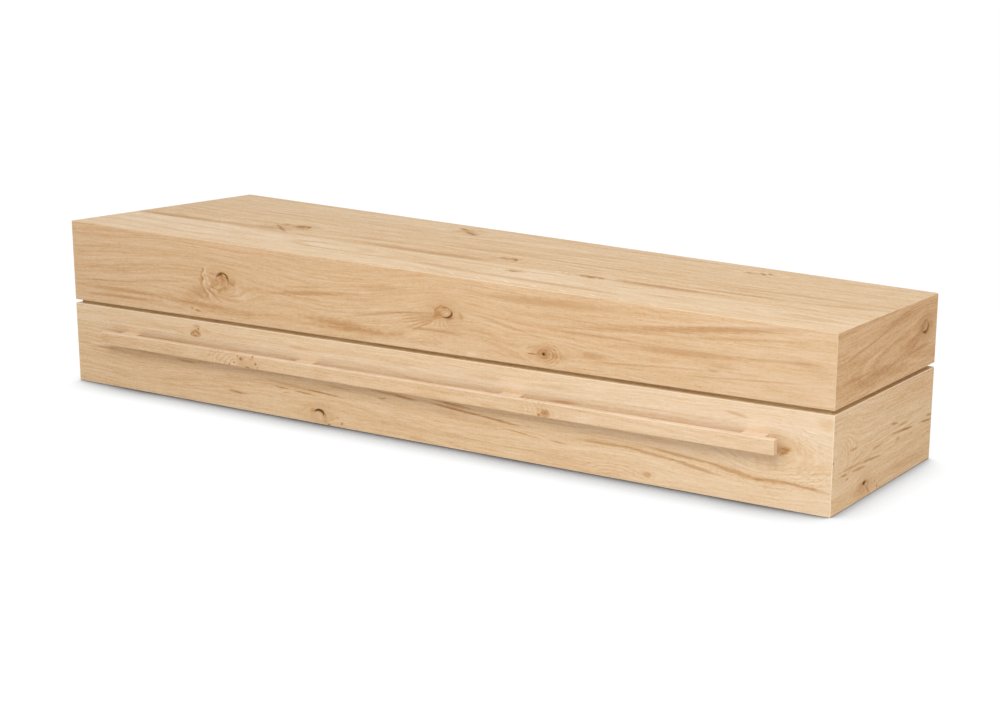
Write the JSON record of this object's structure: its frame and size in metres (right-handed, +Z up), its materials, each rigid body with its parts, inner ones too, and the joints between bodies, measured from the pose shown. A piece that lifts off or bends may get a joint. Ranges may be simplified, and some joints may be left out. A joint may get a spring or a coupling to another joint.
{
  "type": "wooden coffin",
  "caption": "Solid oak box coffin with a tapered plan, a lift-off lid that slopes to the foot, an open shadow gap round the rim and a long wooden carrying bar on each side.",
  "frame": {"origin": "on the ground, under the middle of the length and width, at the underside of the base box", "axes": "+X along the length from the head end to the foot end, +Y from the shown side wall to the other side wall, +Z up"},
  "size_m": [2.05, 0.7034, 0.412],
  "materials": {
    "oak_base": "clear satin oiled solid oak, pale cream to pinkish tan",
    "oak_lid_side": "clear satin oiled solid oak, warm tan",
    "oak_lid_top": "clear satin oiled solid oak, pale stave at the front, tan staves behind",
    "oak_bar": "clear satin oiled solid oak, planed square with fine arrises",
    "oak_rim": "clear oiled oak rail, darker in the shadow gap",
    "oak_inside": "planed oak, plainer, inside and underneath"
  },
  "bodies": {
    "root": {"base_side_front": "oak_base", "base_side_back": "oak_base", "base_end_head": "oak_base", "base_end_foot": "oak_base", "base_floor": "oak_inside", "rim_rail_front": "oak_rim", "rim_rail_back": "oak_rim", "rim_rail_head": "oak_rim", "rim_rail_foot": "oak_rim", "lid_side_front": "oak_lid_side", "lid_side_back": "oak_lid_side", "lid_end_head": "oak_lid_side", "lid_end_foot": "oak_lid_side", "lid_top": "oak_lid_top", "handle_bar_front": "oak_bar", "handle_bar_back": "oak_bar", "handle_block_front_1": "oak_bar", "handle_block_front_2": "oak_bar", "handle_block_front_3": "oak_bar", "handle_block_front_4": "oak_bar", "handle_block_back_1": "oak_bar", "handle_block_back_2": "oak_bar", "handle_block_back_3": "oak_bar", "handle_block_back_4": "oak_bar"}
  },
  "joints": []
}
